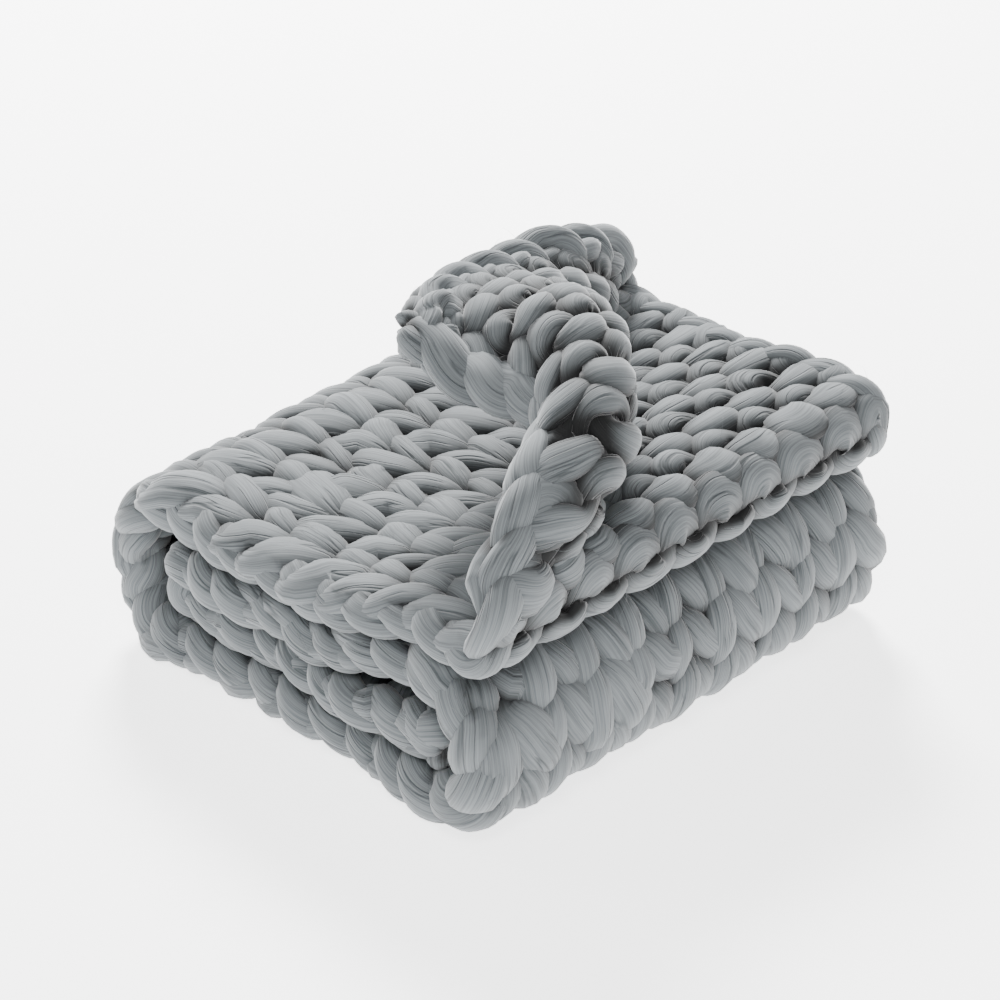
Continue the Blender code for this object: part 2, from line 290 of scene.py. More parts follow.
# From here on, s and t are arrays: s along the fold path, t across the width
def sheet_inside(s, t):
    """Return the mid-surface points for s and t that lie on the cloth."""
    place = flat_points(s, t)
    rows, columns = TOP_SHIFTS.shape[:2]
    u = np.clip(s / NET_S, 0.0, rows - 1.0)
    v = np.clip((t + CLOTH_WIDTH / 2) / NET_T, 0.0, columns - 1.0)
    i = np.minimum(u.astype(int), rows - 2)
    j = np.minimum(v.astype(int), columns - 2)
    on_top = (s / NET_S <= rows - 1)[..., None]
    for di, share_s in enumerate(curve_weights(u - i), -1):
        for dj, share_t in enumerate(curve_weights(v - j), -1):
            row = np.clip(i + di, 0, rows - 1)
            column = np.clip(j + dj, 0, columns - 1)
            place = place + on_top * (share_s * share_t)[..., None] * TOP_SHIFTS[row, column]
    return place + np.array(PATH_ORIGIN)


def unit(vectors):
    """Return vectors at length 1."""
    return vectors / np.maximum(np.linalg.norm(vectors, axis=-1, keepdims=True), 1e-9)


def sheet_frames(s, t):
    """Return mid-surface points, and the directions along the path, across it and out of the knit side."""
    low = np.clip(s - SLOPE_STEP, 0.0, LENGTH - 2 * SLOPE_STEP)
    side = CLOTH_WIDTH / 2 - SLOPE_STEP
    inner_t = np.clip(t, -side, side)
    inner_s = np.clip(s, 0.0, LENGTH)
    forward = unit(sheet_inside(low + 2 * SLOPE_STEP, inner_t) - sheet_inside(low, inner_t))
    across = unit(sheet_inside(inner_s, inner_t + SLOPE_STEP) - sheet_inside(inner_s, inner_t - SLOPE_STEP))
    beyond_s = (s - inner_s)[..., None] * forward
    beyond_t = (t - inner_t)[..., None] * across
    place = sheet_inside(inner_s, inner_t) + beyond_s + beyond_t
    return place, forward, across, unit(np.cross(across, forward))


def half_thicknesses(s, t):
    """Return half the thickness of the cloth."""
    nearness = smooth(1 - (t + CLOTH_WIDTH / 2) / CURL_REACH) * smooth((TOP_END - s) / ROW_STEP)
    return np.interp(s, PATH_S, PATH_HALF) * (1 - (1 - CURL_THINNING) * nearness)


# Half of one stitch, from the middle of its foot to the middle of its head
# name, wales from the stitch's middle, rows from the row's line, depth to the knit side,
# half width and half thickness of the yarn in metres
HALF_STITCH = (
    ("middle of the foot", -0.500, 0.03, -1.02, 0.0130, 0.0098),
    ("foot bend", -0.245, 0.09, -0.72, 0.0120, 0.0092),
    ("leg comes forward", -0.085, 0.32, 0.26, 0.0110, 0.0092),
    ("waist of the leg", -0.160, 0.60, 0.82, 0.0136, 0.0104),
    ("belly of the leg", -0.266, 0.91, 1.04, 0.0150, 0.0112),
    ("shoulder", -0.378, 1.21, 0.94, 0.0150, 0.0112),
    ("head bend", -0.446, 1.48, 0.28, 0.0134, 0.0106),
    ("side of the head", -0.310, 1.62, -0.78, 0.0130, 0.0102),
    ("middle of the head", 0.000, 1.67, -1.12, 0.0146, 0.0108),
)
# Rows up the half stitch to its middle, and metres for a depth of 1 at full thickness
STITCH_MIDDLE = 0.92
STITCH_DEPTH = 0.0075
# The knitting leans to one side: wales for each row
STITCH_LEAN = 0.17
# Shares of the unevenness in a stitch's lean, height and depth
LEAN_SPREAD = 0.5
HEIGHT_SPREAD = 0.8
DEPTH_SPREAD = 0.3
# Between these heights a stitch moves with its unevenness; below and above, it moves by a share of it
STITCH_BODY = (0.3, 1.5)
LOOP_SHARE = 0.4
# How much of a wider yarn's swell its thickness takes up
THICK_SHARE = 0.6
# Points this near a stitch's middle or side belong to both of its legs
LEG_SPAN = (0.05, 0.48)

# The turn of the yarn at a selvedge, between the feet of two rows
# name, wales out from the selvedge, share of the way to the next row, depth, half width, half thickness
EDGE_TURN = (
    ("leaves the row", 0.050, 0.25, -0.70, 0.0112, 0.0100),
    ("bulges out", 0.070, 0.50, -0.45, 0.0112, 0.0105),
    ("enters the next row", 0.050, 0.75, -0.70, 0.0112, 0.0100),
)

# Row where the stitches change the way they point, hidden under the bundle
TURNING_ROW = 28
# Shares by which the outermost leg of even and odd rows is thicker, and how far out it stands, in wales
EDGE_SWELL = (1.28, 1.10)
EDGE_OUT = 0.055
# Stretches where the stitches are fuller: distance along the path, reach, share
FULL_STRETCHES = (
    (0.298, 0.030, 0.38),
    (1.170, 0.055, 0.26),
)
# The outermost feet are drawn back to this far inside the two cut ends of the cloth, in metres
END_INSET = 0.002
# Points on the smooth yarn between two control points
CURVE_STEPS = 8
# Shares of the full size of the last rings of a tube
END_SHARES = (0.36, 0.70, 0.88, 0.97)


def fuller_by(s):
    """Return the share by which the yarn is wider at a distance along the path."""
    return 1 + sum(share * math.exp(-((s - middle) / reach) ** 2) for middle, reach, share in FULL_STRETCHES)


def outer_side(wale, x):
    """Return -1 or 1 where a point belongs to the outermost leg at the near or far selvedge, else 0."""
    if wale == 0 and x < -LEG_SPAN[0]:
        return -1
    if wale == WALES - 1 and x > LEG_SPAN[0]:
        return 1
    return 0


def stitch_row(row, rng, unevenness):
    """Return the control points (s, t, depth, half width, half thickness) of a row, from near to far."""
    heading = 1 if row < TURNING_ROW else -1
    points = []
    table = [entry[1:] for entry in HALF_STITCH]
    mirrored = [(-x, y, z, wide, thick) for x, y, z, wide, thick in reversed(table[:-1])]
    for wale in range(WALES):
        lean = unevenness * LEAN_SPREAD * rng.normal() - STITCH_LEAN * heading
        rise = unevenness * HEIGHT_SPREAD * rng.normal()
        lift = unevenness * DEPTH_SPREAD * rng.normal()
        sizes = 1 + unevenness * rng.normal(size=2)
        legs = table + mirrored
        if wale > 0:
            legs = legs[1:]
        for x, y, z, wide, thick in legs:
            line = (row + 0.5 + heading * (y - STITCH_MIDDLE)) * ROW_STEP
            outward = outer_side(wale, x)
            swell = EDGE_SWELL[row % 2] if outward else fuller_by(line)
            if LEG_SPAN[0] < abs(x) < LEG_SPAN[1]:
                swell *= sizes[int(x > 0)]
            body = 1.0 if STITCH_BODY[0] < y < STITCH_BODY[1] else LOOP_SHARE
            leaning = outward * EDGE_OUT * body + lean * body * (y - STITCH_MIDDLE)
            t = (wale + 0.5 + x + leaning) * WALE_PITCH - CLOTH_WIDTH / 2
            s = line + heading * rise * body * (y > 1) * ROW_STEP
            s = min(max(s, END_INSET), LENGTH - END_INSET)
            points.append((s, t, z * (1 + lift), wide * swell, thick * (1 + (swell - 1) * THICK_SHARE)))
    return points


def edge_turn(first, second, outward):
    """Return the control points that join the ends of two rows around a selvedge."""
    points = []
    for _, out, share, depth, wide, thick in EDGE_TURN:
        s = first[0] + (second[0] - first[0]) * share
        t = first[1] + outward * out * WALE_PITCH
        points.append((s, t, depth, wide, thick))
    return points


def yarn_controls(seed, unevenness):
    """Return the control points of the whole yarn and the index where each row of stitches starts."""
    rng = np.random.default_rng(seed)
    rows = [stitch_row(row, rng, unevenness) for row in range(ROWS)]
    yarn = []
    starts = []
    for row, points in enumerate(rows):
        starts.append(len(yarn))
        ordered = points if row % 2 == 0 else points[::-1]
        yarn.extend(ordered)
        if row + 1 < ROWS:
            following = rows[row + 1] if (row + 1) % 2 == 0 else rows[row + 1][::-1]
            outward = 1 if row % 2 == 0 else -1
            yarn.extend(edge_turn(ordered[-1], following[0], outward))
    starts.append(len(yarn))
    return np.array(yarn), starts


def smooth_curve(controls):
    """Return close points on a smooth curve through the control points."""
    count = len(controls)
    places = np.arange((count - 1) * CURVE_STEPS + 1) / CURVE_STEPS
    i = np.minimum(places.astype(int), count - 2)
    part = (places - i)[:, None]
    total = 0
    for step, share in enumerate(curve_weights(part), -1):
        total = total + share * controls[np.clip(i + step, 0, count - 1)]
    return total


def evenly_spaced(points, columns, spacing):
    """Return the points and columns at an even distance along the points."""
    length = np.append(0.0, np.cumsum(np.linalg.norm(np.diff(points, axis=0), axis=1)))
    at = np.linspace(0.0, length[-1], int(length[-1] / spacing) + 2)
    both = np.concatenate([points, columns], axis=1)
    even = np.stack([np.interp(at, length, column) for column in both.T], -1)
    return even[:, :3], even[:, 3:]


def rounded_ends(count):
    """Return shares that let the first and last rings of a tube close to a soft end."""
    shares = np.ones(count)
    for place, share in enumerate(END_SHARES):
        shares[place] = share
        shares[-1 - place] = share
    return shares


def slow_noise(places, rng, wave):
    """Return a smooth random curve between about -1 and 1, with a hump about every wave."""
    knots = rng.uniform(-1, 1, int(places[-1] / wave) + 4)
    at = places / wave
    i = at.astype(int)
    part = at - i
    return sum(share * knots[np.clip(i + step, 0, len(knots) - 1)]
               for step, share in enumerate(curve_weights(part), -1))


# Plies of loose fibres: number round the yarn, depth as a share of its radius, wave along it in metres
FIBRE_PLIES = (
    (2, 0.045, 0.070),
    (3, 0.035, 0.060),
    (5, 0.022, 0.050),
    (7, 0.014, 0.040),
)
# Plies and creases start anywhere in this many radians round the yarn, which is nearly a full turn
PHASE_SPAN = 6.28
# How far a ply wanders round the yarn in radians, and the share by which its depth comes and goes
PLY_WANDER = 2.2
PLY_FADE = 0.6
# Twist of the fibres in radians for each metre, and how far from the yarn's middle they are drawn
YARN_TWIST = 3.0
FIBRE_RADIUS = 0.7 * FULL_HALF
# Creases along the yarn: number, share of its radius, width and wander in radians, waves in metres
CREASE_COUNT = 3
CREASE_DEPTH = 0.13
CREASE_WIDTH = 0.20
CREASE_WANDER = 3.0
CREASE_WAVE = 0.10
CREASE_FADE_WAVE = 0.045
CREASE_PRESENT = 0.35
# No yarn comes closer to the floor than this, in metres
FLOOR_CLEARANCE = 0.0003

# Stray fibres that stand off the yarn: number in a row, length, how far off and radius in metres,
# and how far they run and curl sideways, as shares of their length
# Real ones are 0.03 mm thick; these are as thin as still shows
STRAY_COUNT = 26
STRAY_LENGTH = (0.010, 0.028)
STRAY_RISE = (0.0008, 0.0036)
STRAY_RADIUS = 0.00013
STRAY_DRIFT = 0.20
STRAY_CURL = 0.10
# Their roots lie this deep in the yarn, in metres, and they end at this share of their radius
STRAY_ROOT = 0.0006
STRAY_TAPER = 0.6
STRAY_STEPS = 7
STRAY_SIDES = 3
# Radians of their arch over the yarn and of their sideways curl
STRAY_ARCH = 0.8 * math.pi
STRAY_CURL_TURN = 5.0
# Their fibre pattern is stretched to twice its size
STRAY_PATTERN = 0.5


def stray_fibres(ring, rng, count):
    """Return thin tubes that leave the yarn's surface, arch over it and come back near it."""
    tubes = []
    rows, sides = ring.shape[:2]
    middle = ring.mean(axis=1)
    for _ in range(count):
        at = int(rng.integers(2, rows - 4))
        side = int(rng.integers(0, sides))
        foot = ring[at, side]
        outward = unit(foot - middle[at])
        along = unit(middle[at + 2] - middle[at - 2]) * rng.choice([-1.0, 1.0])
        sideways = np.cross(outward, along)
        share = np.linspace(0, 1, STRAY_STEPS)[:, None]
        length = rng.uniform(*STRAY_LENGTH)
        rise = rng.uniform(*STRAY_RISE)
        drift = rng.uniform(-STRAY_DRIFT, STRAY_DRIFT) * length
        curl = rng.uniform(-STRAY_CURL, STRAY_CURL) * length
        path = foot + outward * (rise * np.sin(share * STRAY_ARCH) - STRAY_ROOT)
        aside = drift * share + curl * np.sin(share * STRAY_CURL_TURN)
        path = path + along * (share * length) + sideways * aside
        thin = STRAY_RADIUS * (1 - STRAY_TAPER * share[:, 0])
        angle = np.arange(STRAY_SIDES) * math.tau / STRAY_SIDES
        round_it = np.cos(angle)[None, :, None] * outward + np.sin(angle)[None, :, None] * sideways
        tube = path[:, None] + thin[:, None, None] * round_it
        fibre = np.broadcast_to(path[:, None] * STRAY_PATTERN, tube.shape)
        tubes.append((tube, fibre, np.ones(tube.shape[:2])))
    return tubes


# Yarn laid on the cloth: points, mid-surface below them, directions, places on the cloth and sizes
Yarn = namedtuple("Yarn", "points place forward across knit s t half wide thick")
# How open the yarn lies sets the roving's painted shade in the creases and painted light on its open faces
# Distance past an edge of the cloth where yarn lies fully open
EDGE_OPENING = 0.010
# Height above the middle of the cloth, in half thicknesses, where yarn lies fully open
MOST_OPEN = 1.15


def openness_of(ring, yarn):
    """Return how far each vertex stands out of the cloth, from 0 in its middle to MOST_OPEN on its face,
    which sets the painted shade.
    """
    from_line = ring - yarn.points[:, None]
    height = np.abs(((ring - yarn.place[:, None]) * yarn.knit[:, None]).sum(-1)) / yarn.half[:, None]
    t = yarn.t[:, None] + (from_line * yarn.across[:, None]).sum(-1)
    s = yarn.s[:, None] + (from_line * yarn.forward[:, None]).sum(-1)
    beside = (np.abs(t) - CLOTH_WIDTH / 2) / EDGE_OPENING
    beyond = np.maximum(-s, s - LENGTH) / EDGE_OPENING
    return np.clip(np.maximum(height, np.maximum(beside, beyond)), 0.0, MOST_OPEN)


def yarn_tube(yarn, facing, sides, rng, offset):
    """Return the vertices (rings, sides, 3), fibre coordinates and openness of a tube of loose roving."""
    points, half_width, half_thickness = yarn.points, yarn.wide, yarn.thick
    tangent = unit(np.gradient(points, axis=0))
    normal = unit(facing - (facing * tangent).sum(-1, keepdims=True) * tangent)
    side = np.cross(tangent, normal)
    length = offset + np.append(0.0, np.cumsum(np.linalg.norm(np.diff(points, axis=0), axis=1)))
    angle = np.arange(sides) * math.tau / sides
    swell = np.ones((len(points), sides))
    for number, depth, wave in FIBRE_PLIES:
        phase = PLY_WANDER * slow_noise(length - offset, rng, wave) + rng.uniform(0, PHASE_SPAN)
        strength = depth * (1 + PLY_FADE * slow_noise(length - offset, rng, wave))
        swell += strength[:, None] * np.cos(number * angle[None] + phase[:, None])
    for _ in range(CREASE_COUNT):
        place = CREASE_WANDER * slow_noise(length - offset, rng, CREASE_WAVE) + rng.uniform(0, PHASE_SPAN)
        present = np.clip(CREASE_PRESENT + slow_noise(length - offset, rng, CREASE_FADE_WAVE), 0, 1)
        gap = np.angle(np.exp(1j * (angle[None] - place[:, None])))
        swell -= CREASE_DEPTH * present[:, None] * np.exp(-(gap / CREASE_WIDTH) ** 2)
    thick = (half_thickness[:, None] * swell * np.cos(angle))[..., None]
    wide = (half_width[:, None] * swell * np.sin(angle))[..., None]
    ring = points[:, None] + thick * normal[:, None] + wide * side[:, None]
    turned = angle[None] + YARN_TWIST * length[:, None]
    along = np.broadcast_to(length[:, None], turned.shape)
    fibre = np.stack([np.cos(turned) * FIBRE_RADIUS, np.sin(turned) * FIBRE_RADIUS, along], -1)
    return ring, fibre, openness_of(ring, yarn)


def tube_mesh(name, tubes):
    """Return a mesh object of closed tubes, given as rings of vertices, fibre coordinates and openness."""
    corners, fibres, opens, quads, ends = [], [], [], [], []
    base = 0
    for ring, fibre, shade_openness in tubes:
        rows, sides = ring.shape[:2]
        index = base + np.arange(rows * sides).reshape(rows, sides)
        beside = np.roll(index, -1, axis=1)
        quads.append(np.stack([index[:-1], beside[:-1], beside[1:], index[1:]], -1).reshape(-1, 4))
        ends.append(index[0, ::-1])
        ends.append(index[-1])
        corners.append(ring.reshape(-1, 3))
        fibres.append(fibre.reshape(-1, 3))
        opens.append(shade_openness.ravel())
        base += rows * sides
    corners, fibres, quads = np.concatenate(corners), np.concatenate(fibres), np.concatenate(quads)
    corners[:, 2] = np.maximum(corners[:, 2], FLOOR_CLEARANCE)
    mesh = bpy.data.meshes.new(name)
    mesh.vertices.add(len(corners))
    mesh.vertices.foreach_set("co", corners.astype(np.float32).ravel())
    loops = np.concatenate([quads.ravel()] + ends)
    sizes = np.concatenate([np.full(len(quads), 4), [len(end) for end in ends]])
    mesh.loops.add(len(loops))
    mesh.loops.foreach_set("vertex_index", loops.astype(np.int32))
    mesh.polygons.add(len(sizes))
    mesh.polygons.foreach_set("loop_start", np.append(0, np.cumsum(sizes)[:-1]).astype(np.int32))
    mesh.polygons.foreach_set("loop_total", sizes.astype(np.int32))
    mesh.update(calc_edges=True)
    mesh.shade_smooth()
    layer = mesh.attributes.new("fibre", "FLOAT_VECTOR", "POINT")
    layer.data.foreach_set("vector", fibres.astype(np.float32).ravel())
    layer = mesh.attributes.new("shade_openness", "FLOAT", "POINT")
    layer.data.foreach_set("value", np.concatenate(opens).astype(np.float32))
    piece = bpy.data.objects.new(name, mesh)
    bpy.context.scene.collection.objects.link(piece)
    return piece


def finish_piece(piece, material):
    """Give a piece its material, hang it on the root body and hide the imported solid."""
    piece.data.materials.append(material)
    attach(piece, "root")
    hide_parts(NODE)
    return piece


# Added to the seed, so that each piece has its own random draws
ROWS_DRAWS = 100
ROPE_DRAWS = 31
CHAIN_DRAWS = 7
CHAIN_FUZZ_DRAWS = 11
# Metres of yarn before a piece, which keep the fibre patterns of two pieces apart
YARN_IN_ROW = 0.7
YARN_TO_CHAIN = 40.0
YARN_TO_ROPE = 60.0
YARN_IN_STRAND = 3.0

# Groups of rows: name, first row, row after the last, metres between rings, sides of a ring
ROW_GROUPS = (
    ("turned_top_layer", 0, 9, 0.0034, 18),
    ("second_layer", 9, 19, 0.0034, 16),
    ("left_wrap", 19, 23, 0.0036, 16),
    ("base_layer", 23, 32, 0.0044, 14),
    ("right_wrap", 32, 36, 0.0036, 16),
    ("inner_layers", 36, ROWS, 0.0048, 12),
)


def laid_yarn(controls, spacing):
    """Return yarn laid on the cloth along control points."""
    s, t, depth, wide, thick = smooth_curve(controls).T
    place, forward, across, knit = sheet_frames(s, t)
    half = half_thicknesses(s, t)
    points = place + knit * (depth * STITCH_DEPTH * half / FULL_HALF)[:, None]
    fullness = bpy.context.scene.knit_throw.fullness
    sizes = np.stack([s, t, half, wide * fullness, thick * half / FULL_HALF * fullness], -1)
    points, columns = evenly_spaced(points, np.concatenate([place, forward, across, knit, sizes], 1), spacing)
    columns[:, -2:] *= rounded_ends(len(points))[:, None]
    vectors = [columns[:, i:i + 3] for i in (0, 3, 6, 9)]
    return Yarn(points, *vectors, *columns[:, 12:].T)


def knit_rows(group):
    """Build one group of rows from the yarn's control points."""
    name, first, after, spacing, sides = group
    sizes = bpy.context.scene.knit_throw
    controls, starts = yarn_controls(sizes.seed, sizes.unevenness)
    part = controls[starts[first]:starts[after] + 1] if after < ROWS else controls[starts[first]:]
    yarn = laid_yarn(part, spacing)
    rng = np.random.default_rng(sizes.seed + ROWS_DRAWS + first)
    tube = yarn_tube(yarn, yarn.knit, sides, rng, YARN_IN_ROW * first)
    strays = stray_fibres(tube[0], rng, STRAY_COUNT * (after - first))
    return finish_piece(tube_mesh(name, [tube] + strays), roving_material())


# Selvedge ropes: name, side of the cloth
SELVEDGES = (
    ("near_selvedge", -1),
    ("far_selvedge", 1),
)
# Each is two strands that wind round the selvedge once in 1.7 rows, pinched where they dive inside
ROPE_STRANDS = 2
ROPE_ROWS = 1.7
ROPE_PINCH = 0.30
ROPE_PINCH_POWER = 1.5
# Radius of the winding, how far its middle lies outside the cloth, in metres, and how deep in the cloth
ROPE_RADIUS = 0.0066
ROPE_OUT = 0.0002
ROPE_BACK = -0.35
# Half width and half thickness of a strand in metres
ROPE_WIDE = 0.0136
ROPE_THICK = 0.0130
# Control points in a winding, metres between rings, sides of a ring, stray fibres of a strand
ROPE_STEPS = 12
ROPE_SPACING = 0.0034
ROPE_SIDES = 16
ROPE_STRAYS = 3 * STRAY_COUNT
# How far a rope runs past the ends of the cloth, in metres
ROPE_PAST = 0.004
# Shares of the unevenness in a rope's twist and fullness, and rows in which its twist, radius
# and fullness change
ROPE_TWIST_SPREAD = 2.5
ROPE_FULL_SPREAD = 1.2
ROPE_WAVES = (2.0, 1.3, 1.0)
# Stretches of a rope that are fuller than the rest: side, distance along the path, reach, share
ROPE_SWELLS = (
    (-1, 0.050, 0.045, 0.46),
    (-1, 0.200, 0.040, 0.20),
    (-1, 0.330, 0.050, 0.10),
    (-1, 1.130, 0.060, 0.34),
)


def rope_strand(side, strand, rng, unevenness):
    """Return the control points of one strand of a selvedge rope."""
    count = int(ROPE_STEPS * ROWS / ROPE_ROWS)
    s = np.linspace(-ROPE_PAST, LENGTH + ROPE_PAST, count)
    twist, width, body = (slow_noise(s + ROPE_PAST, rng, rows * ROW_STEP) for rows in ROPE_WAVES)
    turn = math.tau * (s / (ROPE_ROWS * ROW_STEP) + strand / ROPE_STRANDS)
    turn += ROPE_TWIST_SPREAD * unevenness * twist
    radius = ROPE_RADIUS * (1 + unevenness * width)
    out = CLOTH_WIDTH / 2 + ROPE_OUT + radius * np.cos(turn)
    full = 1 + ROPE_FULL_SPREAD * unevenness * body
    full = full * (1 - ROPE_PINCH * (0.5 - 0.5 * np.cos(turn)) ** ROPE_PINCH_POWER)
    for where, middle, reach, share in ROPE_SWELLS:
        if where == side:
            full = full + share * np.exp(-((s - middle) / reach) ** 2)
    depth = ROPE_BACK + radius / STITCH_DEPTH * np.sin(turn)
    return np.stack([s, side * out, depth, ROPE_WIDE * full, ROPE_THICK * full], -1)


def twist_selvedge(name, side):
    """Build the rope of two strands along one selvedge."""
    sizes = bpy.context.scene.knit_throw
    rng = np.random.default_rng(sizes.seed + ROPE_DRAWS + side)
    tubes = []
    for strand in range(ROPE_STRANDS):
        controls = rope_strand(side, strand, rng, sizes.unevenness)
        yarn = laid_yarn(controls, ROPE_SPACING)
        tube = yarn_tube(yarn, yarn.knit, ROPE_SIDES, rng, YARN_TO_ROPE + YARN_IN_STRAND * strand)
        tubes.append(tube)
        tubes.extend(stray_fibres(tube[0], rng, ROPE_STRAYS))
    return finish_piece(tube_mesh(name, tubes), roving_material())


# Edge chain: stitches laid along the width on a cut end of the cloth
# name, s of the chain's middle, way that its stitches face along the path
CHAINS = (
    ("chained_edge", 0.014, -1),
    ("inner_edge", LENGTH - 0.010, 1),
)
# Metres along the path for a depth of 1, and how much wider apart its legs lie than in a row
CHAIN_FACE = 0.0080
CHAIN_SPREAD = 1.75
# How much fuller its yarn is, and the share of the unevenness from link to link
CHAIN_FULLNESS = 1.04
CHAIN_UNEVENNESS = 1.5
# Wales by which a link starts before its stitch, and the chain's two ends as shares of the cloth's width
CHAIN_LEAD = 0.4
CHAIN_ENDS = (-0.492, 0.492)
# Metres between rings, sides of a ring, stray fibres
CHAIN_SPACING = 0.0030
CHAIN_SIDES = 18
CHAIN_STRAYS = 2 * STRAY_COUNT


def chain_stitches(seed, unevenness, middle, facing):
    """Return the control points of an edge chain as (s, t, depth, half width, half thickness)."""
    rng = np.random.default_rng(seed)
    points = []
    table = [entry[1:] for entry in HALF_STITCH]
    mirrored = [(-x, y, z, wide, thick) for x, y, z, wide, thick in reversed(table)]
    low, high = (share * CLOTH_WIDTH for share in CHAIN_ENDS)
    for link in range(-1, WALES + 1):
        size = CHAIN_FULLNESS * (1 + CHAIN_UNEVENNESS * unevenness * rng.uniform(-1, 1))
        for x, y, z, wide, thick in table[1:] + mirrored[:-1]:
            t = (link + y - CHAIN_LEAD) * WALE_PITCH - CLOTH_WIDTH / 2
            s = middle + facing * (z * CHAIN_FACE)
            if low < t < high:
                points.append((s, t, CHAIN_SPREAD * x * FULL_HALF / STITCH_DEPTH, wide * size, thick * size))
    return np.array(points)


def knit_chain(name, middle, facing):
    """Build the chain along one cut end of the cloth."""
    sizes = bpy.context.scene.knit_throw
    controls = chain_stitches(sizes.seed + CHAIN_DRAWS, sizes.unevenness, middle, facing)
    yarn = laid_yarn(controls, CHAIN_SPACING)
    rng = np.random.default_rng(sizes.seed + CHAIN_FUZZ_DRAWS)
    tube = yarn_tube(yarn, facing * yarn.forward, CHAIN_SIDES, rng, YARN_TO_CHAIN)
    strays = stray_fibres(tube[0], rng, CHAIN_STRAYS)
    return finish_piece(tube_mesh(name, [tube] + strays), roving_material())


def add_node(tree, kind, settings=(), inputs=(), links=()):
    """Add a node, set its settings and socket values, and link outputs of other nodes to its inputs."""
    node = tree.nodes.new(kind)
    for key, value in dict(settings).items():
        setattr(node, key, value)
    for key, value in dict(inputs).items():
        node.inputs[key].default_value = value
    for key, socket in dict(links).items():
        tree.links.new(socket, node.inputs[key])
    return node


# Sizes of the roving's patterns across and along the yarn, in millimetres
# Where two locks of fibres meet there is a narrow furrow, which comes and goes in patches
# Single fibres are 0.03 mm wide; they are drawn as fine as still shows
LOCK_MM = (7.5, 7.5, 110.0)
PATCH_MM = (14.0, 14.0, 35.0)
HAIR_MM = (0.8, 0.8, 55.0)


def pattern_scale(size_mm):
    """Return the scale at which a pattern of unit size is as large as this."""
    return tuple(1000 / size for size in size_mm)


